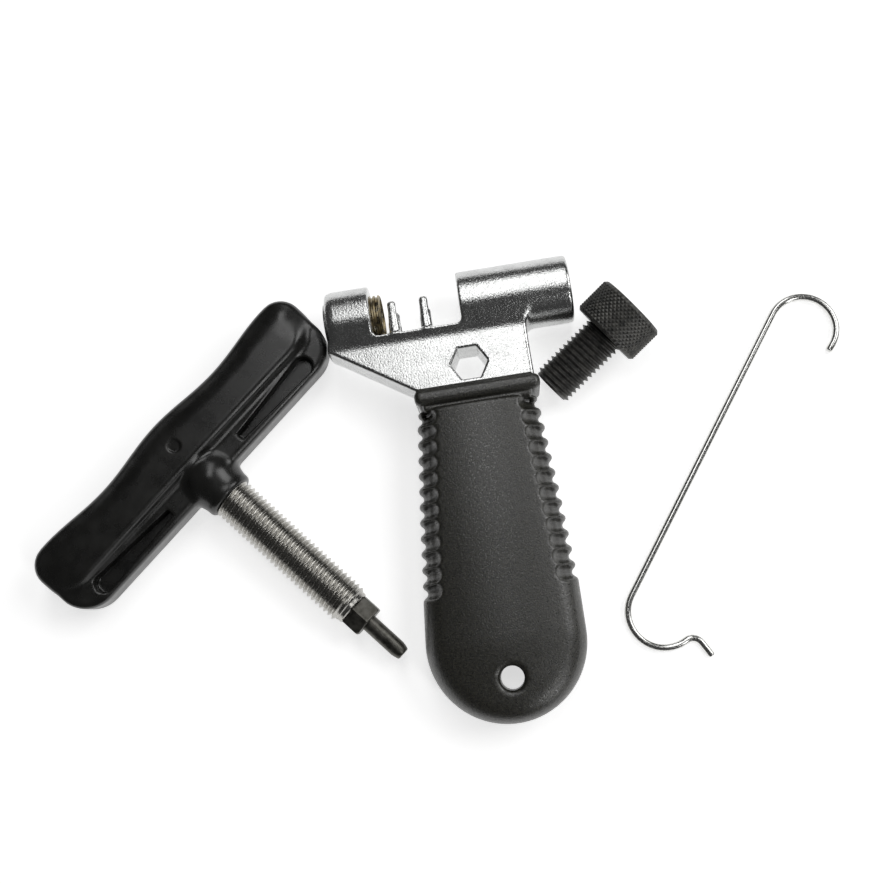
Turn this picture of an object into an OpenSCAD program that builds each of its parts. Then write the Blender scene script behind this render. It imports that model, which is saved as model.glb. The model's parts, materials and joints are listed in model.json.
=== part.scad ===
// Bicycle chain tool, taken apart and laid out: body, T-handle driver,
// knurled anvil screw and wire chain hook. Everything lies on the plane z = 0.
// X runs along the two barrels, Y from the hanging hole up to the head, Z up.
// The origin is on the axis of the hanging hole. Millimetres.

/* [Body] */
// Distance from the hanging hole to the axis of the barrels
head_y = 84.9; // [80:0.1:90]
// Outer diameter of both barrels
barrel_d = 15.6; // [14:0.2:16]
// Length of the barrel that takes the driver
driver_barrel_len = 25.5; // [22:0.1:28]
// Length of the barrel that takes the anvil screw
anvil_barrel_len = 11; // [9:0.5:12]
// Free gap between the two barrels
barrel_gap = 20.3; // [18:0.1:22]
// Thickness of the cast plate under the barrels
plate_t = 10.5; // [9:0.5:12]
// Size across flats of the hexagonal hole in the plate
hex_af = 7.1; // [6:0.1:8]

/* [Grip] */
// Thickness of the moulded grip
grip_t = 15; // [13:0.2:15.2]
// Diameter of the hanging hole
hang_d = 5.2; // [4:0.1:6]
// Number of finger grooves on each side
groove_count = 12; // [8:1:14]
// Spacing of the finger grooves
groove_pitch = 3.5; // [3:0.1:3.6]

/* [Threads] */
// Outer diameter of the driver and anvil threads, M10 x 1.25
thread_d = 10; // [9.8:0.1:10]
// Wall diameter of the tapped holes in the barrels
tapped_d = 8.65; // [8.6:0.05:8.8]
// Threaded length of the driver that stands out of its handle
driver_thread_len = 36.6; // [30:0.1:40]
// Threaded length of the anvil screw
anvil_thread_len = 17; // [12:0.5:20]

/* [Driver] */
// Length of the T-handle, end to end
handle_len = 84; // [70:1:84]
// Thickness of the palm bar of the T-handle
bar_t = 14; // [12:0.5:14.5]
// Diameter of the push pin
pin_d = 3.9; // [3:0.1:4.2]
// Length of push pin that shows in front of its cap
pin_free = 10.4; // [6:0.1:12]
// Size across flats of the hexagonal pin cap
cap_af = 7.36; // [7:0.02:7.4]
// Length of the hexagonal pin cap
cap_len = 4.6; // [4:0.1:6]

/* [Anvil screw and hook] */
// Diameter of the knurled head
knurl_d = 17.2; // [15:0.2:18]
// Length of the knurled band
knurl_len = 8.5; // [7:0.5:9]
// Diameter of the hook's wire
wire_d = 1.7; // [1.4:0.1:2]
// Straight length of the hook
shank_len = 73.3; // [60:0.1:76]

/* [Hidden] */

STEEL = "silver";
BLACK = [0.09, 0.09, 0.08];
GREY_STEEL = [0.42, 0.42, 0.40];
over = 1; // how far a cutter runs past the face that it cuts
slack = 0.05; // radial clearance of a sliding fit

// places along the barrels
axis_z = barrel_d / 2;
driver_barrel_x = 1;
gap_left_x = driver_barrel_x - barrel_gap;
anvil_barrel_x = gap_left_x - anvil_barrel_len;
plate_z = axis_z - plate_t / 2;
plate_right_x = 15.2;
plate_left_bottom = [anvil_barrel_x + 0.1, 77.5];
plate_neck_left_x = -11.8;
plate_neck_y = 65.4;
notch_y = 75.2;
shelf_y = head_y - 5.3;
hex_centre = [1.2, 70.1];

// the two chain tines, each a pair of prongs with the pin's slot between them
tine_x = [-14.3, -7];
tine_t = 2.2;
tine_top_y = head_y + 2.3;
tine_span = 12;
pin_slot = 4.4;
pin_slot_floor_y = head_y - 2.6;

// the tang inside the grip
tang_left_x = -8;
tang_right_x = 10;
tang_t = 7.2;
tang_end_y = 28;

// the bush screwed into the anvil barrel
bush_d = 11.2;
bush_out = 2.4;
bush_in = 3;
bush_play = 0.05;

// grip: the outline below its collar, and the bead above
grip_top_y = 60.6;
grip_round = [-0.2, 8];
grip_round_r = 17.8;
bead_left_x = -12.3;
bead_right_x = 16.3;
bead_y = 61.6;
bead_top_y = 65.4;
edge_inset = 2.4;
groove_r = 1.3;
groove_first_y = 59.1;
cup_reach = 3.6;
cup_depth = 1.9;

// driver: stations along its axis, from the palm side
bar_depth = 12.8;
web_end = 19.2;
web_t = 9;
hub_at = 17.2;
hub_r = 6.8;
neck_r = 5.6;
neck_end = 23.6;
anchor_r = 5.6;
anchor_from = 8;
anchor_to = 14;
palm_corner_r = 5;
web_corner_r = 7.5;
palm_wave_depth = 1.7;
palm_wave_pitch = 36;
thread_end = neck_end + driver_thread_len;
shoulder_end = thread_end + 1.1;
cap_end = shoulder_end + cap_len;
pin_end = cap_end + pin_free;
pin_start = thread_end - 8;
stub_r = 3;
stub_len = 2.6;
shoulder_r = 4.25;
// the driver lies on its palm bar's edge and on the end of its thread
rest_edge = 10.5;
driver_tilt = atan((bar_t - thread_d) / 2 / (thread_end - rest_edge));
driver_place = [-72.1, 67.1];
driver_turn = -50.2;

// anvil screw: stations along its axis, from the threaded end
knurl_end = anvil_thread_len + knurl_len;
rim_chamfer = 0.6;
dimple_r = 2.2;
dimple_depth = 6;
// the anvil screw rests on its tip and on the head's lower rim
anvil_place = [18.8, 63.3, 4.95];
anvil_turn = 34.5;
anvil_tilt = 12;

// chain hook: bend radii at the wire's centre line
top_bend_r = 7.6;
top_sweep = 184;
top_tail = 1.6;
low_bend_r = 7.9;
low_sweep = 155;
tip_bend_r = 2.5;
tip_sweep = 90;
tip_tail = 3.6;
hook_place = [29.2, 13.9];
hook_turn = -36.2;

// points of an arc from angle a to angle b
function arc(centre, r, a, b, steps = 12) =
    [for (i = [0:steps]) centre + r * [cos(a + (b - a) * i / steps), sin(a + (b - a) * i / steps)]];

// a rectangle from corner p to corner q, with round corners
function round_rect(p, q, r) = concat(
    arc([q[0] - r, q[1] - r], r, 0, 90, 6), arc([p[0] + r, q[1] - r], r, 90, 180, 6),
    arc([p[0] + r, p[1] + r], r, 180, 270, 6), arc([q[0] - r, p[1] + r], r, 270, 360, 6));

// the grip's outline below its collar, drawn in by d
function grip_outline(d) = concat(
    [[15.6 - d, grip_top_y - d], [-12.5 + d, grip_top_y - d], [-15.3 + d, 37]],
    arc(grip_round, grip_round_r - d, 168, 356, 26),
    [[17.9 - d, 20], [17 - d, 38]]);

// how far out the grip's sides are at height y
function grip_right(y) = 15.6 + (grip_top_y - y) * 0.062;
function grip_left(y) = -12.5 - (grip_top_y - y) * 0.114;

// the T-handle's outline: waves on the palm side, straight on the screw side
function palm_wave(t) = palm_wave_depth / 2 * (1 - cos(t * 360 / palm_wave_pitch));
palm_flat = handle_len / 2 - palm_corner_r;
function bar_outline(reach) = concat(
    [for (t = [-palm_flat:palm_flat / 12:palm_flat + 0.01]) [palm_wave(t), t]],
    arc([palm_corner_r, palm_flat], palm_corner_r, 150, 90, 4),
    arc([reach - web_corner_r, handle_len / 2 - web_corner_r], web_corner_r, 90, 0, 8),
    arc([reach - web_corner_r, web_corner_r - handle_len / 2], web_corner_r, 0, -90, 8),
    arc([palm_corner_r, -palm_flat], palm_corner_r, 270, 210, 4));

// a barrel along X with its two outer edges rounded by r1 and r2
module barrel(x, len, r1, r2) {
    profile = concat([[0, 0]], arc([axis_z - r1, r1], r1, -90, 0, 6),
                     arc([axis_z - r2, len - r2], r2, 0, 90, 6), [[0, len]]);
    translate([x, head_y, axis_z]) rotate([0, 90, 0]) rotate_extrude($fn = 72) polygon(profile);
}

// one cylinder along X, centred on the barrels' axis
module along_axis(x, len, d) {
    translate([x, head_y, axis_z]) rotate([0, 90, 0]) cylinder(h = len, d = d, $fn = 72);
}

module tine(x) {
    half = tine_t / 2;
    difference() {
        translate([x, 0, axis_z - tine_span / 2]) linear_extrude(tine_span)
            polygon(concat([[-half, shelf_y - 2], [half, shelf_y - 2]],
                           arc([0, tine_top_y - half], half, 0, 180, 8)));
        translate([x - tine_t, pin_slot_floor_y, axis_z - pin_slot / 2])
            cube([2 * tine_t, tine_top_y, pin_slot]);
    }
}

module plate() {
    corner_r = 1.6;
    outline = concat(
        [[anvil_barrel_x + 0.1, head_y], plate_left_bottom, [plate_neck_left_x, plate_neck_y],
         [plate_neck_left_x, bead_y], [plate_right_x, bead_y]],
        arc([plate_right_x - corner_r, notch_y], corner_r, 0, 40, 4),
        [[plate_right_x - 0.8, head_y], [driver_barrel_x, head_y], [driver_barrel_x, shelf_y],
         [gap_left_x, shelf_y], [gap_left_x, head_y]]);
    difference() {
        translate([0, 0, plate_z]) linear_extrude(plate_t) polygon(outline);
        translate([hex_centre[0], hex_centre[1], 0]) cylinder(h = 20, d = hex_af / cos(30), $fn = 6);
    }
}

module tang() {
    translate([tang_left_x, tang_end_y, axis_z - tang_t / 2])
        cube([tang_right_x - tang_left_x, bead_y + over - tang_end_y, tang_t]);
}

// cast frame: two barrels, the shelf with the tines, the plate and the tang
module frame() {
    color(STEEL) difference() {
        union() {
            barrel(anvil_barrel_x, anvil_barrel_len, 1.6, 0.5);
            barrel(driver_barrel_x, driver_barrel_len, 0.5, 0.8);
            plate();
            tang();
            for (x = tine_x) tine(x);
        }
        along_axis(anvil_barrel_x - over, anvil_barrel_len + 2 * over, tapped_d);
        along_axis(gap_left_x - bush_in, bush_in + bush_out + bush_play, bush_d + 2 * bush_play);
        along_axis(driver_barrel_x - over, driver_barrel_len + 2 * over, tapped_d);
    }
}

// threaded bush that stands out of the anvil barrel into the gap
module anvil_bush() {
    color([0.72, 0.60, 0.33]) difference() {
        along_axis(gap_left_x - bush_in, bush_in + bush_out, bush_d);
        along_axis(gap_left_x - bush_in - over, bush_in + bush_out + 2 * over, tapped_d);
    }
}

// the row of finger grooves down one side; side is 1 on the right, -1 on the left
module grooves(side) {
    for (i = [0:groove_count - 1]) {
        y = groove_first_y - groove_pitch * i;
        edge = side > 0 ? grip_right(y) : grip_left(y);
        translate([edge + side * 0.1, y, -over]) cylinder(h = grip_t + 2 * over, r = groove_r, $fn = 24);
        for (z = [groove_r - cup_depth, grip_t + cup_depth - groove_r])
            translate([edge + side * over, y, z]) rotate([0, -side * 90, 0])
                cylinder(h = cup_reach + over, r = groove_r, $fn = 24);
    }
}

// moulded grip over the tang, with a bead at the top and a hanging hole
module grip() {
    color(BLACK) difference() {
        union() {
            hull() {
                translate([0, 0, edge_inset]) linear_extrude(grip_t - 2 * edge_inset)
                    polygon(grip_outline(0));
                linear_extrude(grip_t) polygon(grip_outline(edge_inset));
            }
            translate([0, 0, 1]) linear_extrude(grip_t - 2)
                polygon(round_rect([bead_left_x + 1, grip_top_y - 3], [bead_right_x - 1, bead_top_y - 1], 0.5));
            translate([0, 0, 0.4]) linear_extrude(grip_t - 0.8)
                polygon(round_rect([bead_left_x, bead_y], [bead_right_x, bead_top_y], 1.3));
        }
        tang();
        translate([0, 0, plate_z]) linear_extrude(plate_t)
            polygon([[plate_neck_left_x, bead_y], [plate_right_x, bead_y],
                     [plate_right_x, 70], [plate_neck_left_x, 70]]);
        translate([0, 0, -over]) cylinder(h = grip_t + 2 * over, d = hang_d, $fn = 48);
        grooves(1);
        grooves(-1);
    }
}

// puts a piece of the driver where it lies; its own axis is +X from the palm
module lay_driver() {
    translate([driver_place[0], driver_place[1], bar_t / 2]) rotate([0, 0, driver_turn])
        translate([rest_edge, 0, 0]) rotate([0, driver_tilt, 0]) translate([-rest_edge, 0, 0])
            children();
}

// a turned shape along +X; profile points are [station, radius]
module turned(profile, facets = 72) {
    rotate([0, 90, 0]) rotate_extrude($fn = facets) polygon([for (p = profile) [p[1], p[0]]]);
}

// teardrop pockets in the web, one each side of the hub on both flat faces
module web_pockets() {
    pocket_floor = 1.2;
    outline = concat([[16.2, 11.5], [17.8, 11.5]], arc([16.6, 34], 1.9, 0, 180, 8));
    for (side = [-1, 1]) for (face = [0, 1])
        mirror([0, side < 0 ? 1 : 0, 0]) mirror([0, 0, face])
            translate([0, 0, pocket_floor]) linear_extrude(web_t) polygon(outline);
}

// T-handle: thick palm bar, thinner web and the hub around the screw
module driver_handle() {
    color(BLACK) lay_driver() difference() {
        union() {
            intersection() {
                translate([0, 0, -bar_t / 2]) linear_extrude(bar_t) polygon(bar_outline(bar_depth));
                rotate([90, 0, 0]) linear_extrude(handle_len, center = true)
                    polygon(round_rect([-0.6, -bar_t / 2], [bar_depth + 1, bar_t / 2], 4.5));
            }
            difference() {
                translate([0, 0, -web_t / 2]) linear_extrude(web_t) polygon(bar_outline(web_end));
                web_pockets();
            }
            turned(concat([[5, 0]], [for (p = arc([0, 0], hub_r, 150, 55, 10)) [hub_at + p[0], p[1]]],
                          [[neck_end - 0.6, neck_r], [neck_end, neck_r - 0.6], [neck_end, 0]]));
        }
        turned([[anchor_from, 0], [anchor_from, anchor_r], [anchor_to, anchor_r],
                [anchor_to, thread_d / 2], [neck_end + over, thread_d / 2], [neck_end + over, 0]]);
    }
}

// driver screw: anchor in the handle, M10 thread, and a stub under the pin cap
module driver_screw() {
    color(GREY_STEEL) lay_driver() difference() {
        turned([[anchor_from, 0], [anchor_from, anchor_r], [anchor_to, anchor_r],
                [anchor_to, thread_d / 2], [thread_end - 0.7, thread_d / 2], [thread_end, shoulder_r],
                [shoulder_end, shoulder_r], [shoulder_end, stub_r],
                [shoulder_end + stub_len, stub_r], [shoulder_end + stub_len, 0]]);
        turned([[pin_start - slack, 0], [pin_start - slack, pin_d / 2 + slack],
                [shoulder_end + stub_len + over, pin_d / 2 + slack],
                [shoulder_end + stub_len + over, 0]]);
    }
}

// push pin with a tapered tip; the thread end holds its hidden half
module push_pin() {
    taper = 1.6;
    tip_r = 1.45;
    color(GREY_STEEL) lay_driver()
        turned([[pin_start, 0], [pin_start, pin_d / 2], [pin_end - taper, pin_d / 2],
                [pin_end, tip_r], [pin_end, 0]]);
}

// hexagonal cap that keeps the pin in the end of the screw
module pin_cap() {
    color([0.30, 0.30, 0.29]) lay_driver() difference() {
        translate([shoulder_end, 0, 0]) rotate([0, 90, 0])
            cylinder(h = cap_len, d = cap_af / cos(30), $fn = 6);
        translate([shoulder_end - over, 0, 0]) rotate([0, 90, 0])
            cylinder(h = over + stub_len + 2 * slack, r = stub_r + slack, $fn = 48);
        translate([shoulder_end - over, 0, 0]) rotate([0, 90, 0])
            cylinder(h = cap_len + 2 * over, r = pin_d / 2 + slack, $fn = 48);
    }
}

// knurled anvil screw, lying on its head
module anvil_screw() {
    color(BLACK) translate(anvil_place)
        rotate([0, -anvil_tilt, anvil_turn]) difference() {
            turned([[0, 0], [0, thread_d / 2 - 0.7], [0.7, thread_d / 2],
                    [anvil_thread_len, thread_d / 2], [anvil_thread_len, knurl_d / 2 - 0.7],
                    [anvil_thread_len + 0.7, knurl_d / 2], [knurl_end, knurl_d / 2],
                    [knurl_end + rim_chamfer, knurl_d / 2 - rim_chamfer], [knurl_end + rim_chamfer, 0]]);
            turned([[-over, 0], [-over, dimple_r], [dimple_depth - dimple_r, dimple_r],
                    [dimple_depth, 0]], 48);
        }
}

// the hook's centre line, from the tail of its top bend to its lower tip
top_centre = [top_bend_r, shank_len];
low_centre = [low_bend_r, 0];
low_end = low_centre + low_bend_r * [-cos(low_sweep), -sin(low_sweep)];
tip_centre = low_end + tip_bend_r * [-cos(low_sweep), -sin(low_sweep)];
tip_from = low_sweep;
tip_to = tip_from - tip_sweep;
tip_end = tip_centre + tip_bend_r * [cos(tip_to), sin(tip_to)];
top_start = top_centre + top_bend_r * [-cos(top_sweep), sin(180 - top_sweep)];
hook_path = concat(
    [top_start - top_tail * [-sin(180 - top_sweep), cos(180 - top_sweep)]],
    arc(top_centre, top_bend_r, 180 - top_sweep, 180, 18),
    arc(low_centre, low_bend_r, 180, 180 + low_sweep, 16),
    [for (p = [1:9]) tip_centre + tip_bend_r * [cos(tip_from - tip_sweep * p / 9),
                                               sin(tip_from - tip_sweep * p / 9)]],
    [tip_end + tip_tail * [sin(tip_to), -cos(tip_to)]]);

function unit(v) = v / norm(v);
function heading(path, i) =
    unit(path[min(i + 1, len(path) - 1)] - path[max(i - 1, 0)]);

// a round wire along a flat path, as one closed solid
module wire(path, d, sides = 12) {
    rings = [for (i = [0:len(path) - 1]) for (k = [0:sides - 1])
        let (h = heading(path, i), a = 360 * k / sides)
        [path[i][0] - h[1] * d / 2 * cos(a), path[i][1] + h[0] * d / 2 * cos(a), d / 2 * sin(a)]];
    last = len(path) - 1;
    walls = [for (i = [0:last - 1]) for (k = [0:sides - 1])
        [i * sides + k, i * sides + (k + 1) % sides,
         (i + 1) * sides + (k + 1) % sides, (i + 1) * sides + k]];
    polyhedron(rings, concat(walls, [[for (k = [sides - 1:-1:0]) k]],
                             [[for (k = [0:sides - 1]) last * sides + k]]), convexity = 4);
}

// wire hook: straight shank, a half-round at the top and a wavy lower hook
module chain_hook() {
    color(STEEL) translate([hook_place[0], hook_place[1], wire_d / 2])
        rotate([0, 0, hook_turn]) wire(hook_path, wire_d);
}

frame();
anvil_bush();
grip();
driver_handle();
driver_screw();
push_pin();
pin_cap();
anvil_screw();
chain_hook();
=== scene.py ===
import json
import math

import bmesh
import bpy
import numpy as np
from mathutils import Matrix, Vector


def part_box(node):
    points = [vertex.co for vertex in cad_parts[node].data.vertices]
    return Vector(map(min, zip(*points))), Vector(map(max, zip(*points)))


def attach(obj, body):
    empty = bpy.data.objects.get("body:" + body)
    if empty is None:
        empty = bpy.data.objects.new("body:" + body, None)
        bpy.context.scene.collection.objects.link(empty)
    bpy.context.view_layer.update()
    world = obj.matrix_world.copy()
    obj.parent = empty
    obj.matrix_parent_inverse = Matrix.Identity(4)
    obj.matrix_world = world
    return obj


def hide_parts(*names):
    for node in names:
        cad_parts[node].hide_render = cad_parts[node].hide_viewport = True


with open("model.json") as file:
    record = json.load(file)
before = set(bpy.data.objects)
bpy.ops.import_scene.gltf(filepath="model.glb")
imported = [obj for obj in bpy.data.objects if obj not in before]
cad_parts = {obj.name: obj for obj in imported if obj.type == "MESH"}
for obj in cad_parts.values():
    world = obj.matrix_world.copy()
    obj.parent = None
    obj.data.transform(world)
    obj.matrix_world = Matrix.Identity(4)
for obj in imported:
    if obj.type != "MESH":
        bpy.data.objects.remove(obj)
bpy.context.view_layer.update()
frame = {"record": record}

import openvdb
from mathutils import Matrix, Vector

# The pieces are shaped in millimetres and stored in metres. X runs along the barrels, Y from the
# hanging hole to the head, Z up from the table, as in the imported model.
MM = 0.001


def corners(node):
    """A CAD node's lowest and highest corner in millimetres."""
    low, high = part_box(node)
    return np.array(low) / MM, np.array(high) / MM


# ---------------------------------------------------------------- sizes

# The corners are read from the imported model; the other sizes are the ones it was drawn with.
frame_low, frame_high = corners("frame")
grip_low, grip_high = corners("grip")
BARREL_R = (frame_high[2] - frame_low[2]) / 2
AXIS_Z = (frame_high[2] + frame_low[2]) / 2
HEAD_Y = frame_high[1] - BARREL_R
ANVIL_X = frame_low[0]
DRIVER_END_X = frame_high[0]
ANVIL_LEN = 11.0
GAP = 20.3
GAP_LEFT = ANVIL_X + ANVIL_LEN
GAP_RIGHT = GAP_LEFT + GAP
SHELF_Y = HEAD_Y - 5.3
TAPPED_R = 4.325
THREAD_R = 5.0
PITCH = 1.25
THREAD_DEPTH = 0.72
BUSH_IN = 3.0
BUSH_OUT = 2.4
BUSH_R = 5.58
GRIP_HALF = (grip_high[2] - grip_low[2]) / 2
GRIP_Z = (grip_high[2] + grip_low[2]) / 2

# Grid steps of the pieces that are made from distance fields.
FRAME_STEP = 0.19
GRIP_STEP = 0.24
HANDLE_STEP = 0.24
CAP_STEP = 0.11
# Distances further from a surface than this are cut off.
FIELD_LIMIT = 4.0
# Shorter than any edge that is meant to be there.
TINY = 1e-6


# ---------------------------------------------------------------- distance fields

def lattice(low, high, step):
    """Open coordinate arrays from low to high; they broadcast to the full block."""
    axes = [np.arange(a, b + step, step, dtype=np.float32) for a, b in zip(low, high)]
    return np.ix_(*axes)


def smooth_max(a, b, k):
    """The larger of two fields, with the corner between them rounded over about k."""
    h = np.maximum(k - np.abs(a - b), 0) / k
    return np.maximum(a, b) + h * h * k / 4


def smooth_min(a, b, k):
    """The smaller of two fields, with the corner between them filled over about k."""
    return -smooth_max(-a, -b, k)


def ease(x, low, high):
    """0 below low, 1 above high, and a smooth step between."""
    t = np.clip((x - low) / (high - low), 0, 1)
    return t * t * (3 - 2 * t)


def outside(points, x, y):
    """Signed distance to a closed outline in the plane, negative inside."""
    best = None
    sign = np.ones(np.broadcast(x, y).shape, dtype=np.float32)
    for i in range(len(points)):
        ax, ay = points[i - 1]
        bx, by = points[i]
        ex, ey = bx - ax, by - ay
        wx, wy = x - ax, y - ay
        t = np.clip((wx * ex + wy * ey) / (ex * ex + ey * ey), 0, 1)
        d = (wx - ex * t) ** 2 + (wy - ey * t) ** 2
        best = d if best is None else np.minimum(best, d)
        above_a, above_b = y >= ay, y >= by
        left = ex * wy - ey * wx > 0
        crosses = (above_a & ~above_b & ~left) | (~above_a & above_b & left)
        sign = np.where(crosses, -sign, sign)
    return np.sqrt(best) * sign


def box_field(x, y, z, centre, half, r):
    """Signed distance to a box of these half sizes whose edges are rounded to radius r."""
    qx = np.abs(x - centre[0]) - (half[0] - r)
    qy = np.abs(y - centre[1]) - (half[1] - r)
    qz = np.abs(z - centre[2]) - (half[2] - r)
    out = np.sqrt(np.maximum(qx, 0) ** 2 + np.maximum(qy, 0) ** 2 + np.maximum(qz, 0) ** 2)
    return out + np.minimum(np.maximum(np.maximum(qx, qy), qz), 0) - r


def arc(cx, cy, r, start, end, steps):
    """Points along an arc from one angle to another, in degrees."""
    angles = [math.radians(start + (end - start) * i / steps) for i in range(steps + 1)]
    return [(cx + r * math.cos(a), cy + r * math.sin(a)) for a in angles]


# ---------------------------------------------------------------- meshes

def new_object(name, points, faces, place=None):
    """A smooth-shaded object from points in millimetres; place is an optional 4x4 in millimetres."""
    mesh = bpy.data.meshes.new(name)
    mesh.from_pydata([Vector(p) for p in points], [], faces)
    if place is not None:
        mesh.transform(place)
    mesh.transform(Matrix.Scale(MM, 4))
    mesh.validate()
    obj = bpy.data.objects.new(name, mesh)
    bpy.context.scene.collection.objects.link(obj)
    for polygon in mesh.polygons:
        polygon.use_smooth = True
    return obj


def outward(obj):
    """Makes every closed shell's faces look outward."""
    bm = bmesh.new()
    bm.from_mesh(obj.data)
    bmesh.ops.recalc_face_normals(bm, faces=bm.faces)
    bm.to_mesh(obj.data)
    bm.free()
    return obj


def from_field(name, field, low, step, place=None):
    """The surface where the field is zero, as an object."""
    volume = openvdb.FloatGrid(FIELD_LIMIT)
    volume.copyFromArray(np.clip(field, -FIELD_LIMIT, FIELD_LIMIT).astype(np.float64))
    points, quads = volume.convertToQuads(isovalue=0.0)
    points = points * step + np.array(low)
    obj = new_object(name, points.tolist(), quads[:, ::-1].tolist(), place)
    return outward(obj)


def turned(name, profile, segments, place):
    """A surface of revolution about +X through (station, radius) points. Radius 0 closes it on the
    axis, and a profile that ends at its first point makes a ring."""
    closed = profile[0] == profile[-1]
    rings = profile[:-1] if closed else profile
    points, index = [], []
    for station, radius in rings:
        if radius < TINY:
            index.append([len(points)] * segments)
            points.append((station, 0, 0))
            continue
        index.append(list(range(len(points), len(points) + segments)))
        for k in range(segments):
            a = math.tau * k / segments
            points.append((station, radius * math.cos(a), radius * math.sin(a)))
    faces = []
    pairs = list(zip(index, index[1:])) + ([(index[-1], index[0])] if closed else [])
    for one, two in pairs:
        for k in range(segments):
            n = (k + 1) % segments
            loop = [one[k], one[n], two[n], two[k]]
            loop = [v for i, v in enumerate(loop) if v != loop[i - 1]]
            if len(loop) > 2:
                faces.append(loop)
    return outward(new_object(name, points, faces, place))


def helix(name, start, end, knots, segments, place, clamp):
    """A threaded surface about +X from start to end. knots are (phase, radius) along one pitch, and
    clamp(station, radius) limits the radius so that the thread runs out at its ends."""
    per = len(knots)
    turns = int(math.ceil((end - start) / PITCH)) + 1
    points = []
    for i in range(-per, turns * per + 1):
        phase, radius = knots[i % per]
        for j in range(segments + 1):
            x = start + (i // per + phase + j / segments) * PITCH
            x = min(max(x, start), end)
            r = clamp(x, radius)
            a = math.tau * j / segments
            points.append((x, r * math.cos(a), r * math.sin(a)))
    faces = []
    rows = len(points) // (segments + 1)
    for i in range(rows - 1):
        for j in range(segments):
            a = i * (segments + 1) + j
            b = a + segments + 1
            stations = [points[k][0] for k in (a, a + 1, b + 1, b)]
            if max(stations) - min(stations) > TINY:
                faces.append((a, a + 1, b + 1, b))
    obj = new_object(name, points, faces, place)
    bm = bmesh.new()
    bm.from_mesh(obj.data)
    bmesh.ops.remove_doubles(bm, verts=bm.verts, dist=TINY)
    bmesh.ops.dissolve_degenerate(bm, edges=bm.edges, dist=TINY / 10)
    loose = [v for v in bm.verts if not v.link_faces]
    bmesh.ops.delete(bm, geom=loose, context="VERTS")
    bmesh.ops.recalc_face_normals(bm, faces=bm.faces)
    for face in bm.faces:
        face.smooth = True
    bm.to_mesh(obj.data)
    bm.free()
    return obj


def join(name, parts):
    """One object from several; every part keeps its own normals and sharp edges."""
    bpy.ops.object.select_all(action="DESELECT")
    for part in parts:
        part.select_set(True)
    bpy.context.view_layer.objects.active = parts[0]
    bpy.ops.object.join()
    parts[0].name = name
    return parts[0]


def crisp(obj, degrees=35):
    """Marks the edges that bend more than this as sharp."""
    mesh = obj.data
    bm = bmesh.new()
    bm.from_mesh(mesh)
    for edge in bm.edges:
        if len(edge.link_faces) == 2:
            edge.smooth = edge.calc_face_angle(0) < math.radians(degrees)
    bm.to_mesh(mesh)
    bm.free()
    return obj


# ---------------------------------------------------------------- materials

def material(name, base, metallic, roughness):
    """A new node material; returns (material, nodes, links, shader). The base colour and roughness
    are plain stand-ins wherever a texture is linked over them."""
    mat = bpy.data.materials.new(name)
    mat.use_nodes = True
    nodes, links = mat.node_tree.nodes, mat.node_tree.links
    shader = nodes["Principled BSDF"]
    shader.inputs["Base Color"].default_value = (*base, 1)
    shader.inputs["Metallic"].default_value = metallic
    shader.inputs["Roughness"].default_value = roughness
    return mat, nodes, links, shader


def noise(nodes, links, size_mm, detail):
    """Noise whose features are about size_mm across, in the object's own coordinates."""
    where = nodes.new("ShaderNodeTexCoord")
    tex = nodes.new("ShaderNodeTexNoise")
    tex.inputs["Scale"].default_value = 1 / (size_mm * MM)
    tex.inputs["Detail"].default_value = detail
    links.new(where.outputs["Object"], tex.inputs["Vector"])
    return tex.outputs["Fac"]


def remap(nodes, links, value, low, high, to_low, to_high):
    """The value's range low to high, stretched to to_low to to_high and held there."""
    ramp = nodes.new("ShaderNodeMapRange")
    ramp.inputs["From Min"].default_value = low
    ramp.inputs["From Max"].default_value = high
    ramp.inputs["To Min"].default_value = to_low
    ramp.inputs["To Max"].default_value = to_high
    links.new(value, ramp.inputs["Value"])
    return ramp.outputs["Result"]


def bump(nodes, links, shader, layers):
    """Stacks bump layers; each is (height output, depth in millimetres, strength)."""
    normal = None
    for height, depth, strength in layers:
        node = nodes.new("ShaderNodeBump")
        node.inputs["Distance"].default_value = depth * MM
        node.inputs["Strength"].default_value = strength
        links.new(height, node.inputs["Height"])
        if normal is not None:
            links.new(normal, node.inputs["Normal"])
        normal = node.outputs["Normal"]
    links.new(normal, shader.inputs["Normal"])


def tint(nodes, links, shader, factor, dark, light):
    """Makes the base colour go from dark to light as the factor goes from 0 to 1."""
    mix = nodes.new("ShaderNodeMix")
    mix.data_type = "RGBA"
    mix.inputs["A"].default_value = (*dark, 1)
    mix.inputs["B"].default_value = (*light, 1)
    links.new(factor, mix.inputs["Factor"])
    links.new(mix.outputs["Result"], shader.inputs["Base Color"])


def plated_steel():
    """Satin pearl plating over a cast skin: fine orange peel and cloudy roughness."""
    mat, nodes, links, shader = material("plated_steel", (0.7, 0.71, 0.72), 1.0, 0.28)
    peel = noise(nodes, links, 0.42, 2.0)
    grit = noise(nodes, links, 0.22, 2.0)
    cloud = noise(nodes, links, 3.5, 3.0)
    tint(nodes, links, shader, remap(nodes, links, cloud, 0.3, 0.7, 0, 1),
         (0.50, 0.505, 0.50), (0.62, 0.625, 0.62))
    links.new(remap(nodes, links, peel, 0.3, 0.7, 0.17, 0.29), shader.inputs["Roughness"])
    bump(nodes, links, shader, [(peel, 0.09, 0.55), (grit, 0.03, 0.5)])
    return mat


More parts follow.
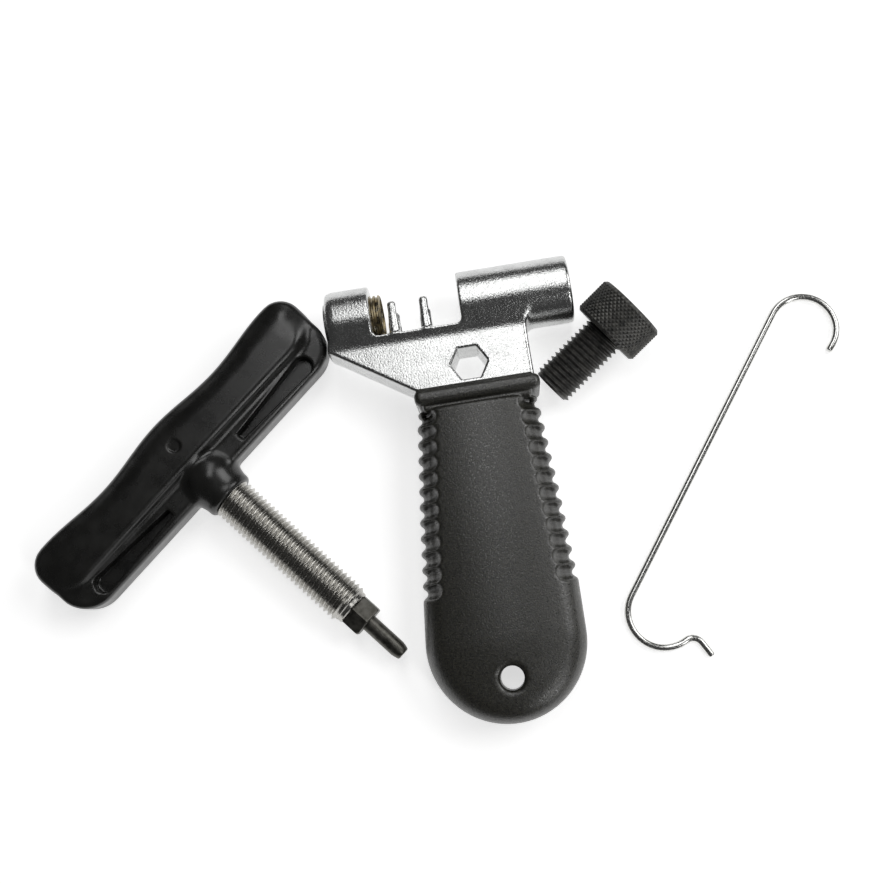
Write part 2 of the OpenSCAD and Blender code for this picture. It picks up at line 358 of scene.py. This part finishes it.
def machined_steel():
    """Turned thread steel with a fine, random lighter and darker tone."""
    mat, nodes, links, shader = material("screw_steel", (0.42, 0.41, 0.39), 1.0, 0.27)
    streak = noise(nodes, links, 0.5, 3.0)
    tint(nodes, links, shader, remap(nodes, links, streak, 0.35, 0.65, 0, 1),
         (0.38, 0.37, 0.35), (0.54, 0.53, 0.50))
    links.new(remap(nodes, links, streak, 0.3, 0.7, 0.2, 0.32), shader.inputs["Roughness"])
    bump(nodes, links, shader, [(noise(nodes, links, 0.5, 2.0), 0.004, 0.4)])
    return mat


def gunmetal():
    """Dark bare steel of the pin and its cap, with a fine dull grain."""
    mat, nodes, links, shader = material("gunmetal", (0.2, 0.195, 0.18), 1.0, 0.4)
    patch = noise(nodes, links, 1.2, 4.0)
    tint(nodes, links, shader, remap(nodes, links, patch, 0.35, 0.65, 0, 1),
         (0.075, 0.073, 0.064), (0.14, 0.136, 0.123))
    links.new(remap(nodes, links, patch, 0.3, 0.7, 0.33, 0.48), shader.inputs["Roughness"])
    bump(nodes, links, shader, [(noise(nodes, links, 0.15, 2.0), 0.012, 0.5)])
    return mat


def black_oxide():
    """Blackened steel: dark, slightly oily, a little brown where it is handled."""
    mat, nodes, links, shader = material("black_oxide", (0.03, 0.03, 0.03), 0.55, 0.42)
    patch = noise(nodes, links, 1.5, 4.0)
    tint(nodes, links, shader, remap(nodes, links, patch, 0.35, 0.7, 0, 1),
         (0.05, 0.05, 0.048), (0.12, 0.117, 0.108))
    links.new(remap(nodes, links, patch, 0.3, 0.7, 0.34, 0.5), shader.inputs["Roughness"])
    bump(nodes, links, shader, [(noise(nodes, links, 0.14, 2.0), 0.012, 0.5)])
    return mat


def grip_plastic():
    """Moulded grip with a fine leathery grain; the lighter specks in its colour are painted glints
    off the grain.
    """
    mat, nodes, links, shader = material("grip_plastic", (0.05, 0.048, 0.04), 0.0, 0.45)
    shader.inputs["Specular IOR Level"].default_value = 1.0
    grain = noise(nodes, links, 0.34, 3.0)
    pebble = noise(nodes, links, 0.75, 2.0)
    painted_glint = noise(nodes, links, 0.26, 1.0)
    # The lighter specks are painted highlight: glints put into the base colour.
    tint(nodes, links, shader, remap(nodes, links, painted_glint, 0.42, 0.68, 0, 1),
         (0.009, 0.009, 0.0075), (0.046, 0.044, 0.032))
    links.new(remap(nodes, links, grain, 0.35, 0.65, 0.26, 0.48), shader.inputs["Roughness"])
    bump(nodes, links, shader, [(pebble, 0.10, 0.35), (grain, 0.09, 0.6)])
    return mat


def gloss_plastic():
    """Smooth moulded nylon: a soft gloss with faint waviness and handling marks."""
    mat, nodes, links, shader = material("gloss_plastic", (0.022, 0.022, 0.019), 0.0, 0.27)
    shader.inputs["Specular IOR Level"].default_value = 0.6
    haze = noise(nodes, links, 4.0, 4.0)
    tint(nodes, links, shader, remap(nodes, links, haze, 0.3, 0.7, 0, 1),
         (0.008, 0.008, 0.0074), (0.014, 0.014, 0.0128))
    links.new(remap(nodes, links, haze, 0.3, 0.7, 0.22, 0.34), shader.inputs["Roughness"])
    bump(nodes, links, shader, [(noise(nodes, links, 7.0, 1.0), 0.25, 0.12),
                                (noise(nodes, links, 0.25, 2.0), 0.008, 0.5)])
    return mat


def bright_wire():
    """Drawn steel wire with fine scratches."""
    mat, nodes, links, shader = material("bright_wire", (0.74, 0.74, 0.72), 1.0, 0.2)
    scratch = noise(nodes, links, 0.4, 3.0)
    tint(nodes, links, shader, remap(nodes, links, scratch, 0.3, 0.7, 0, 1),
         (0.62, 0.62, 0.60), (0.80, 0.80, 0.78))
    links.new(remap(nodes, links, scratch, 0.3, 0.7, 0.14, 0.3), shader.inputs["Roughness"])
    bump(nodes, links, shader, [(scratch, 0.01, 0.5)])
    return mat


def yellow_bush():
    """Worn yellow plating that goes grey in patches; both colours are also kept dark as painted shade
    of the gap it sits in.
    """
    mat, nodes, links, shader = material("yellow_bush", (0.66, 0.52, 0.26), 1.0, 0.3)
    patch = noise(nodes, links, 1.0, 3.0)
    # Both colours are darkened: painted shade of the gap between the barrels.
    tint(nodes, links, shader, remap(nodes, links, patch, 0.35, 0.65, 0, 1),
         (0.20, 0.185, 0.15), (0.36, 0.29, 0.16))
    links.new(remap(nodes, links, patch, 0.3, 0.7, 0.22, 0.38), shader.inputs["Roughness"])
    bump(nodes, links, shader, [(patch, 0.02, 0.5)])
    return mat


def finish(obj, mat, body, slot, *nodes):
    """Gives a piece its material and its body, and hides the CAD nodes that it stands for. The slot
    is not used.
    """
    obj.data.materials.clear()
    obj.data.materials.append(mat)
    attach(obj, body)
    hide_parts(*nodes)
    return obj


# ---------------------------------------------------------------- threads

def outer_knots():
    """One pitch of an outside thread: narrow bright crest, sloping flanks, rounded root."""
    root = THREAD_R - THREAD_DEPTH
    return [(0.0, THREAD_R - 0.06), (0.03, THREAD_R), (0.10, THREAD_R), (0.13, THREAD_R - 0.06),
            (0.42, root + 0.07), (0.48, root), (0.65, root), (0.71, root + 0.07)]


def inner_knots():
    """One pitch of a tapped hole's wall."""
    root = TAPPED_R + THREAD_DEPTH
    return [(0.0, root), (0.12, root), (0.42, TAPPED_R + 0.05), (0.48, TAPPED_R),
            (0.64, TAPPED_R), (0.70, TAPPED_R + 0.05)]


def on_barrel_axis():
    return Matrix.Translation((0, HEAD_Y, AXIS_Z))


def tapped_wall(name, start, end):
    """The threaded wall of a hole along the barrels, opened out by a chamfer at both mouths."""
    chamfer = 0.9

    def clamp(x, r):
        mouth = max(0.0, chamfer - min(x - start, end - x))
        return max(r, TAPPED_R + mouth)
    return helix(name, start, end, inner_knots(), 64, on_barrel_axis(), clamp)


# ---------------------------------------------------------------- frame

PLATE_HALF = 5.25
PLATE_LEFT = -11.8
PLATE_RIGHT = 15.2
PLATE_FOOT = 60.0
SLANT_LOW = 65.4
SLANT_HIGH = 77.5
HEX_X, HEX_Y = 1.2, 70.1
HEX_APOTHEM = 3.6
TINE_X = (-14.3, -7.0)
TINE_Z = 3.9
TINE_HALF_THICK = 1.18
TINE_HALF_DEEP = 1.8
TINE_EDGE_R = 0.85
BORE_R = THREAD_R + 0.02
BUSH_SEAT_R = BUSH_R + 0.04
# The casting ends here, inside the grip's neck.
TANG_Y = 62.0


def frame_field(x, y, z):
    """The casting: a round-backed bar with a plate below it, milled out between the barrels."""
    radial = np.sqrt((y - HEAD_Y) ** 2 + (z - AXIS_Z) ** 2)
    middle, length = (ANVIL_X + DRIVER_END_X) / 2, DRIVER_END_X - ANVIL_X
    bar = smooth_max(radial - BARREL_R, np.abs(x - middle) - length / 2, 0.9)
    left = ANVIL_X + 0.05
    outline = [(left, SLANT_HIGH), (PLATE_LEFT, SLANT_LOW), (PLATE_LEFT, PLATE_FOOT),
               (PLATE_RIGHT, PLATE_FOOT), (PLATE_RIGHT, HEAD_Y), (left, HEAD_Y)]
    plate = smooth_max(np.abs(z - AXIS_Z) - PLATE_HALF, outside(outline, x, y), 0.8)
    body = smooth_min(bar, plate, 2.2)
    # The anvil's end face has a sharper edge on the plate than on the round barrel.
    body = smooth_max(body, ANVIL_X - x, 0.8 + 2.0 * ease(y, SLANT_HIGH, SLANT_HIGH + 3.0))
    gap_middle = (GAP_LEFT + GAP_RIGHT) / 2
    gap = smooth_max(np.abs(x - gap_middle) - GAP / 2, SHELF_Y - y, 1.4)
    body = smooth_max(body, -gap, 0.6)
    for centre in TINE_X:
        body = smooth_min(body, tine_field(x, y, z, centre), 0.7)
    body = smooth_max(body, BORE_R - radial, 0.25)
    bush_seat = np.maximum(radial - BUSH_SEAT_R, np.abs(x - GAP_LEFT) - BUSH_IN)
    body = np.maximum(body, -bush_seat)
    return smooth_max(body, -hexagon(x - HEX_X, y - HEX_Y, HEX_APOTHEM), 0.5)


def hexagon(x, y, apothem):
    """Signed distance, roughly, to a hexagonal hole whose flats lie along X."""
    slanted = 0.5 * np.abs(y) + 0.8660254 * np.abs(x)
    return np.maximum(np.abs(y), slanted) - apothem


def tine_field(x, y, z, centre):
    """A pair of rounded prongs, thinner at the top, on a low web under the pin's path."""
    top = HEAD_Y + 2.3
    web_top = HEAD_Y - 2.6
    base = SHELF_Y - 0.8
    half = (TINE_HALF_THICK, (top - base) / 2, TINE_HALF_DEEP)
    middle = (top + base) / 2
    scale = 1 + 0.16 * ease(y, SHELF_Y, top)
    one = box_field((x - centre) * scale, y, z, (0, middle, AXIS_Z + TINE_Z), half, TINE_EDGE_R)
    two = box_field((x - centre) * scale, y, z, (0, middle, AXIS_Z - TINE_Z), half, TINE_EDGE_R)
    web = box_field(x, y, z, (centre, (web_top + base) / 2, AXIS_Z),
                    (TINE_HALF_THICK - 0.06, (web_top - base) / 2, PLATE_HALF - 0.05), 0.5)
    return smooth_min(np.minimum(one, two), web, 0.5)


def make_frame():
    low = (ANVIL_X - 1.2, TANG_Y - 1.5, -1.0)
    high = (DRIVER_END_X + 1.2, frame_high[1] + 1.0, frame_high[2] + 1.0)
    x, y, z = lattice(low, high, FRAME_STEP)
    field = np.maximum(frame_field(x, y, z), TANG_Y - y)
    body = from_field("cast_frame", field, low, FRAME_STEP)
    walls = [tapped_wall("driver_thread", GAP_RIGHT + 0.15, DRIVER_END_X - 0.15),
             tapped_wall("anvil_thread", ANVIL_X + 0.15, GAP_LEFT - BUSH_IN)]
    return join("cast_frame", [body, *walls])


# ---------------------------------------------------------------- anvil bush

def make_bush():
    """A threaded ring: grooves outside where it stands out of the barrel, a tapped hole inside."""
    start, end = GAP_LEFT - BUSH_IN, GAP_LEFT + BUSH_OUT
    bore = TAPPED_R + 0.75
    root = BUSH_R - 0.5
    groove_pitch = 1.1
    profile = [(start, bore), (start, BUSH_R)]
    x = GAP_LEFT + 0.1
    while x < end - 0.9:
        profile += [(x, BUSH_R), (x + 0.25, root), (x + 0.5, root), (x + 0.75, BUSH_R)]
        x += groove_pitch
    profile += [(end - 0.3, BUSH_R), (end, BUSH_R - 0.3), (end, bore), (start, bore)]
    ring = crisp(turned("bush_ring", profile, 96, on_barrel_axis()))
    wall = tapped_wall("bush_thread", start, end)
    return join("anvil_bush_ring", [ring, wall])


# ---------------------------------------------------------------- grip

GRIP_TOP = 60.6
GRIP_X = 0.4
GRIP_SOFTNESS = 5.0
HANG_HOLE_R = 2.6
GROOVES = 12
GROOVE_PITCH = 3.5
GROOVE_FIRST = 59.1
GROOVE_REACH = 3.0
# Above the grip's shoulder: centre, half size and edge radius of each box.
NECK = ((1.7, 61.8, GRIP_Z), (12.2, 1.3, 5.6), 0.6)
BEAD = ((2.0, 63.6, GRIP_Z), (14.2, 1.75, 6.95), 1.4)
RIM = ((1.6, 65.0, GRIP_Z), (13.2, 0.8, 6.1), 0.5)


def grip_outline():
    """Down the left side, round the hanging hole and up the right side; it runs on past the top."""
    past_top = 69.0
    return [(14.9, past_top), (-11.6, past_top), (-12.4, GRIP_TOP), (-15.2, 37.0), (-17.0, 19.0),
            *arc(-0.2, 8.0, 17.8, 176, 360, 40), (17.7, 19.0), (16.9, 38.0), (15.4, GRIP_TOP)]


def grip_field(x, y, z):
    """A crowned, round-edged body with scalloped sides, a neck and a bead."""
    plan = outside(grip_outline(), x, y)
    across = (x - GRIP_X) / 17.0
    crown = 2.7 * across * across
    foot_slope = 1.5 * ease(-y, -9.5, 11.0)
    half = GRIP_HALF - crown - foot_slope - 0.35 * ease(y, 30.0, 62.0)
    body = smooth_max(plan, np.abs(z - GRIP_Z) - half, GRIP_SOFTNESS)
    body = smooth_max(body, y - (GRIP_TOP + 0.5), 1.2)
    for side in (1, -1):
        body = carve_grooves(body, plan, x, y, side)
    for centre, size, r in (NECK, BEAD, RIM):
        body = np.minimum(body, box_field(x, y, z, centre, size, r))
    hole = np.sqrt(x * x + y * y) - HANG_HOLE_R
    return smooth_max(body, -hole, 1.5)


def carve_grooves(body, plan, x, y, side):
    """Finger grooves that run round the edge from a round pit on one face to one on the other."""
    last = GROOVE_FIRST - GROOVE_PITCH * (GROOVES - 1)
    row = np.clip(np.round((GROOVE_FIRST - y) / GROOVE_PITCH), 0, GROOVES - 1)
    off = y - (GROOVE_FIRST - row * GROOVE_PITCH)
    inward = -plan
    beyond = np.maximum(inward - GROOVE_REACH, 0)
    away = np.sqrt(beyond * beyond + off * off)
    radius = 1.05 + 0.5 * ease(inward, 0.4, 2.4)
    cut = np.sqrt(away * away + (body - 0.15) ** 2) - radius
    no_cut = 5.0
    cut = np.where(side * (x - GRIP_X) > 0, cut, no_cut)
    cut = np.where((y > GRIP_TOP + 1) | (y < last - 4), no_cut, cut)
    return smooth_max(body, -cut, 0.8)


def make_grip():
    low = (-20.0, -12.0, grip_low[2] - 1.0)
    high = (20.0, 67.0, grip_high[2] + 1.0)
    x, y, z = lattice(low, high, GRIP_STEP)
    return from_field("moulded_grip", grip_field(x, y, z), low, GRIP_STEP)


# ---------------------------------------------------------------- driver

# Stations along the driver's own axis, from its palm side.
BAR_DEPTH = 12.8
WEB_END = 19.1
HUB_AT = 17.2
HUB_R = 6.8
NECK_END = 23.6
HANDLE_HALF = 42.0
THREAD_END = NECK_END + 36.6
SHOULDER_END = THREAD_END + 1.1
CAP_END = SHOULDER_END + 4.6
PIN_END = CAP_END + 10.4
# The driver's joint has its pivot this far along the axis.
PIVOT_AT = 10.5

# Radii, half sizes and depths of the driver's pieces.
PALM_R = 5.0
WEB_CORNER_R = 7.5
PALM_WAVE = 36.0
PALM_CUT = 0.75
BAR_HALF = 7.0
WEB_HALF = 4.5
POCKET_FLOOR = 1.2
NECK_R = 5.9
GATE_S, GATE_T = 7.2, 0.2
GATE_R = 1.35
SHOULDER_R = 4.15
PIN_R = 1.95
CAP_APOTHEM = 3.68


def joint_place(name, back=0.0):
    """A joint's own axes: +X along it, and the origin this many millimetres back from its pivot."""
    turn = next(j for j in frame["record"]["behaviour"]["joints"] if j["name"] == name)
    along = Vector(turn["axis"]).normalized()
    across = Vector((0, 0, 1)).cross(along).normalized()
    up = along.cross(across)
    rotation = Matrix((along, across, up)).transposed().to_4x4()
    return Matrix.Translation(Vector(turn["pos_m"]) / MM - along * back) @ rotation


def driver_place():
    return joint_place("driver_turn", PIVOT_AT)


def palm_edge(t):
    """How far the palm side is cut back at t along the handle: a bump, two waists, two lobes."""
    return PALM_CUT * (1 - math.cos(math.tau * t / PALM_WAVE))


def bar_outline(reach):
    """The handle's outline from its palm side to this station; the bar and the web share it."""
    flat = HANDLE_HALF - PALM_R
    corner = HANDLE_HALF - WEB_CORNER_R
    palm = [(palm_edge(t), t) for t in np.linspace(-flat, flat, 41)]
    return [*palm, *arc(PALM_R, flat, PALM_R, 165, 90, 8),
            *arc(reach - WEB_CORNER_R, corner, WEB_CORNER_R, 90, 0, 12),
            *arc(reach - WEB_CORNER_R, -corner, WEB_CORNER_R, 0, -90, 12),
            *arc(PALM_R, -flat, PALM_R, 270, 195, 8)]


def pocket_outline():
    """Teardrop pocket: narrow and square at the hub, wide and round at the handle's end."""
    return [(15.3, 11.5), (17.0, 11.5), *arc(15.9, 33.0, 2.1, 0, 180, 14)]


def handle_field(s, t, z):
    """A soft palm bar, a thinner web with two pockets, a hub that runs into the neck, and a gate
    mark: s along the driver's axis, t along the handle."""
    side = np.abs(t)
    half = BAR_HALF - 0.125 * (t / 20.0) ** 2 - 0.5 * ease(side, 34.0, 43.0)
    half = half - 0.35 * (1 - ease(s, 0.0, 6.0))
    # The palm side is well rounded. The edge over the web is tighter, though less so at the ends.
    soft = 5.2 - 3.4 * ease(s, 6.0, 11.0) * (1 - 0.35 * ease(side, 32.0, 41.0))
    bar = smooth_max(outside(bar_outline(BAR_DEPTH), s, t), np.abs(z) - half, soft)
    web_face = np.abs(z) - WEB_HALF + 0.1 * np.maximum(s - 13, 0)
    web = smooth_max(outside(bar_outline(WEB_END), s, t), web_face, 1.6)
    body = smooth_min(bar, web, 1.7)
    pocket = np.maximum(outside(pocket_outline(), s, side), POCKET_FLOOR - np.abs(z))
    body = smooth_max(body, -pocket, 0.5)
    radial = np.sqrt(t * t + z * z)
    hub = np.sqrt((s - HUB_AT) ** 2 + radial * radial) - HUB_R
    neck = smooth_max(radial - NECK_R, s - NECK_END, 1.2)
    neck = np.maximum(neck, HUB_AT - 6 - s)
    hub = smooth_min(hub, neck, 0.9)
    body = smooth_min(body, hub, 1.1)
    gate = np.sqrt((s - GATE_S) ** 2 + (t - GATE_T) ** 2) - GATE_R
    gate_floor = 6.65 - z - 0.3 * (s - GATE_S)
    return smooth_max(body, -np.maximum(gate, gate_floor), 0.35)


def make_handle():
    low = (-1.5, -HANDLE_HALF - 1.5, -BAR_HALF - 1.0)
    high = (NECK_END + 1.5, HANDLE_HALF + 1.5, BAR_HALF + 1.0)
    s, t, z = lattice(low, high, HANDLE_STEP)
    return from_field("t_handle", handle_field(s, t, z), low, HANDLE_STEP, driver_place())


def make_driver_screw():
    """M10 x 1.25 screw with a run-out chamfer, and the shoulder that the pin cap sits on."""
    place = driver_place()

    def clamp(x, r):
        return min(r, 4.2 + max(0.0, THREAD_END - x) * 1.1)
    thread = helix("driver_thread_outer", NECK_END - 1.5, THREAD_END, outer_knots(), 72, place,
                   clamp)
    shoulder = turned("driver_shoulder",
                      [(THREAD_END - 0.4, 0), (THREAD_END - 0.4, SHOULDER_R),
                       (SHOULDER_END - 0.25, SHOULDER_R), (SHOULDER_END, SHOULDER_R - 0.25),
                       (SHOULDER_END, 0)], 72, place)
    return join("driver_thread_screw", [thread, crisp(shoulder)])


def make_cap():
    """Hexagonal cap with its corners turned off at the front, and a hole for the pin."""
    low = (SHOULDER_END - 0.5, -5.0, -5.0)
    high = (CAP_END + 0.5, 5.0, 5.0)
    s, t, z = lattice(low, high, CAP_STEP)
    radial = np.sqrt(t * t + z * z)
    prism = smooth_max(hexagon(z, t, CAP_APOTHEM), s - CAP_END, 0.3)
    prism = smooth_max(prism, SHOULDER_END - s, 0.2)
    cone = (radial - 4.25) + (s - CAP_END + 0.55) * 0.6
    body = smooth_max(prism, cone, 0.15)
    body = np.maximum(body, PIN_R + 0.05 - radial)
    return from_field("hex_pin_cap", body, low, CAP_STEP, driver_place())


def make_pin():
    """Push pin with a rounded taper at its tip."""
    tip = [(PIN_END - 1.9, PIN_R), (PIN_END - 1.2, PIN_R - 0.12), (PIN_END - 0.35, 1.62),
           (PIN_END - 0.1, 1.5), (PIN_END, 1.3), (PIN_END, 0)]
    body = turned("push_pin_tip", [(THREAD_END - 8, 0), (THREAD_END - 8, PIN_R), *tip], 64,
                  driver_place())
    return crisp(body, 50)


# ---------------------------------------------------------------- anvil screw

KNURL_R = 8.6
KNURL_DEPTH = 0.33
ANVIL_THREAD = 17.0
KNURL_END = ANVIL_THREAD + 8.5
KNURLS = 44
TIP_R = 4.15
SOCKET_R = 2.2


def knurled_band(place):
    """The head: a diamond knurl between two small chamfers, closed at both ends."""
    per = 6
    around = KNURLS * per
    pitch = math.tau * KNURL_R / KNURLS
    start, end = ANVIL_THREAD + 0.6, KNURL_END - 0.1
    rows = int(round((end - start) / pitch * per))
    points = []
    profile = [(ANVIL_THREAD, 4.0, 0), (ANVIL_THREAD, KNURL_R - 0.7, 0)]
    profile += [(start + (end - start) * i / rows, KNURL_R, 1) for i in range(rows + 1)]
    profile += [(KNURL_END + 0.5, KNURL_R - 0.7, 0), (KNURL_END + 0.6, KNURL_R - 1.6, 0),
                (KNURL_END + 0.6, 2.0, 0)]
    for station, radius, cut in profile:
        for k in range(around):
            a, b = (station / pitch + k / per) % 1, (station / pitch - k / per) % 1
            depth = KNURL_DEPTH * (1 - min(abs(2 * a - 1), abs(2 * b - 1))) if cut else 0
            angle = math.tau * k / around
            r = radius - depth
            points.append((station, r * math.cos(angle), r * math.sin(angle)))
    faces = []
    for i in range(len(profile) - 1):
        for k in range(around):
            n = (k + 1) % around
            faces.append((i * around + k, i * around + n, (i + 1) * around + n, (i + 1) * around + k))
    last = (len(profile) - 1) * around
    faces.append(tuple(range(last, last + around)))
    faces.append(tuple(range(around - 1, -1, -1)))
    return crisp(outward(new_object("knurled_head", points, faces, place)), 28)


def make_anvil_screw():
    """Knurled head, threaded shank, and a tip with a drilled blind hole in its face."""
    place = joint_place("anvil_turn")

    def clamp(x, r):
        return min(r, TIP_R + x * 1.1)
    thread = helix("anvil_thread_outer", 0.0, ANVIL_THREAD + 0.3, outer_knots(), 72, place, clamp)
    face = turned("anvil_face", [(0.0, TIP_R), (0.0, SOCKET_R + 0.3), (0.35, SOCKET_R),
                                 (4.5, SOCKET_R), (6.0, 0)], 72, place)
    return join("knurled_anvil_screw", [knurled_band(place), thread, crisp(face)])


# ---------------------------------------------------------------- chain hook

SHANK = 73.3
# Radius and sweep of each bend, and the straight wire at each end.
TOP_R, TOP_SWEEP, TOP_TAIL = 7.6, 184.0, 1.6
LOW_R, LOW_SWEEP = 7.9, 155.0
TIP_BEND_R, TIP_SWEEP, TIP_TAIL = 2.5, 90.0, 3.6
HOOK_AT = (29.2, 13.9)
HOOK_TURN = -36.2
# At a cut end: distance along the wire, and its share of the full radius.
CUT_END = ((0.0, 0.78), (0.12, 0.94), (0.3, 1.0))


def hook_path():
    """The wire's centre line in its own plane, from the tail of the top bend to the lower tip."""
    top = arc(TOP_R, SHANK, TOP_R, 180 - TOP_SWEEP, 180, 48)
    a = math.radians(180 - TOP_SWEEP)
    start = (top[0][0] + TOP_TAIL * math.sin(a), top[0][1] - TOP_TAIL * math.cos(a))
    low = arc(LOW_R, 0, LOW_R, 180, 180 + LOW_SWEEP, 44)
    b = math.radians(LOW_SWEEP)
    cx, cy = low[-1][0] - TIP_BEND_R * math.cos(b), low[-1][1] - TIP_BEND_R * math.sin(b)
    tip = arc(cx, cy, TIP_BEND_R, LOW_SWEEP, LOW_SWEEP - TIP_SWEEP, 20)
    c = math.radians(LOW_SWEEP - TIP_SWEEP)
    end = (tip[-1][0] + TIP_TAIL * math.sin(c), tip[-1][1] - TIP_TAIL * math.cos(c))
    shank_points = [(0.0, SHANK * (1 - i / 24)) for i in range(1, 24)]
    return [start, *top, *shank_points, *low, *tip[1:], end]


def make_hook():
    """Round wire with slightly rounded cut ends."""
    lowest, highest = corners("chain_hook")
    wire_r = (highest[2] - lowest[2]) / 2
    place = (Matrix.Translation((*HOOK_AT, lowest[2] + wire_r))
             @ Matrix.Rotation(math.radians(HOOK_TURN), 4, "Z"))
    path = [np.array((*p, 0.0)) for p in hook_path()]
    last, sides = len(path) - 1, 20
    points, rings = [], []

    def ring(centre, ahead, radius):
        side = np.array((-ahead[1], ahead[0], 0.0))
        rings.append(len(points))
        for k in range(sides):
            a = math.tau * k / sides
            points.append(centre + radius * (math.cos(a) * side + math.sin(a) * np.array((0, 0, 1))))

    for i, centre in enumerate(path):
        ahead = path[min(i + 1, last)] - path[max(i - 1, 0)]
        ahead = ahead / np.linalg.norm(ahead)
        if i == 0:
            for inset, share in CUT_END:
                ring(centre + ahead * inset, ahead, wire_r * share)
        elif i == last:
            for inset, share in reversed(CUT_END):
                ring(centre - ahead * inset, ahead, wire_r * share)
        else:
            ring(centre, ahead, wire_r)
    faces = []
    for one, two in zip(rings, rings[1:]):
        for k in range(sides):
            n = (k + 1) % sides
            faces.append((one + k, one + n, two + n, two + k))
    faces.append(tuple(range(rings[0], rings[0] + sides)))
    faces.append(tuple(range(rings[-1], rings[-1] + sides)))
    points = [tuple(float(v) for v in p) for p in points]
    return crisp(outward(new_object("wire_hook", points, faces, place)), 40)


# ---------------------------------------------------------------- stage, lights, camera

def make_floor():
    """White paper on a lit table: a little light of its own keeps it white under a dim room."""
    mat, nodes, links, shader = material("paper", (0.93, 0.93, 0.93), 0.0, 0.8)
    shader.inputs["Emission Color"].default_value = (1, 1, 1, 1)
    shader.inputs["Emission Strength"].default_value = 0.64
    bump(nodes, links, shader, [(noise(nodes, links, 1.5, 3.0), 0.02, 0.2)])
    under = -0.05 * MM
    bpy.ops.mesh.primitive_plane_add(size=16.0, location=(0, 0, under))
    floor = bpy.context.object
    floor.name = "floor"
    floor.data.materials.append(mat)


def area_light(name, place, size, power, target):
    """A white rectangular lamp at place, in metres, that faces the target."""
    lamp = bpy.data.lights.new(name, "AREA")
    lamp.shape = "RECTANGLE"
    lamp.size, lamp.size_y = size
    lamp.energy = power
    obj = bpy.data.objects.new(name, lamp)
    obj.location = place
    aim = Vector(target) - Vector(place)
    obj.rotation_mode = "QUATERNION"
    obj.rotation_quaternion = aim.to_track_quat("-Z", "Y")
    bpy.context.scene.collection.objects.link(obj)


def make_lights():
    """A soft box behind the tool, a strip in front of it and a large dim lamp at its side."""
    world = bpy.data.worlds.new("studio")
    bpy.context.scene.world = world
    world.use_nodes = True
    background = world.node_tree.nodes["Background"]
    background.inputs["Color"].default_value = (1.0, 1.0, 1.0, 1)
    background.inputs["Strength"].default_value = 0.05
    area_light("softbox", (0.05, 0.46, 0.70), (0.25, 0.8), 1.65, (-0.005, 0.07, 0.0))
    area_light("strip", (0.42, -0.44, 0.50), (0.12, 0.55), 1.1, (-0.06, 0.06, 0.0))
    area_light("side", (1.15, 0.45, 1.05), (0.9, 0.9), 8.0, (-0.005, 0.04, 0.0))


def make_camera():
    """Looks down at the part from above the grip, turned so that the tool leans as it lies."""
    nadir = Vector((3.0, 5.0, 0.0)) * MM
    height = 275.0 * MM
    target = Vector((-7.7, 54.2, 7.0)) * MM
    up_hint = Vector((0.1455, 0.9894, 0.0))
    view_width = 201.0 * MM
    camera = bpy.data.cameras.new("camera")
    obj = bpy.data.objects.new("camera", camera)
    bpy.context.scene.collection.objects.link(obj)
    obj.location = nadir + Vector((0, 0, height))
    ahead = target - obj.location
    distance = ahead.length
    ahead.normalize()
    right = ahead.cross(up_hint).normalized()
    up = right.cross(ahead)
    obj.rotation_mode = "QUATERNION"
    obj.rotation_quaternion = Matrix((right, up, -ahead)).transposed().to_quaternion()
    camera.sensor_width = 36.0
    camera.lens = camera.sensor_width * distance / view_width
    camera.clip_start, camera.clip_end = 0.01, 20.0
    bpy.context.scene.camera = obj
    bpy.context.scene.view_settings.view_transform = "Standard"


make_camera()
finish(make_frame(), plated_steel(), "body", "plated_steel", "frame")
finish(make_bush(), yellow_bush(), "body", "yellow_bush", "anvil_bush")
finish(make_grip(), grip_plastic(), "body", "black_grip", "grip")
finish(make_handle(), gloss_plastic(), "driver", "gloss_black", "driver_handle")
finish(make_driver_screw(), machined_steel(), "driver", "screw_steel", "driver_screw")
finish(make_cap(), gunmetal(), "cap", "dark_steel", "pin_cap")
finish(make_pin(), gunmetal(), "pin", "dark_steel", "push_pin")
finish(make_anvil_screw(), black_oxide(), "anvil", "black_oxide", "anvil_screw")
finish(make_hook(), bright_wire(), "hook", "bright_wire", "chain_hook")
make_floor()
make_lights()
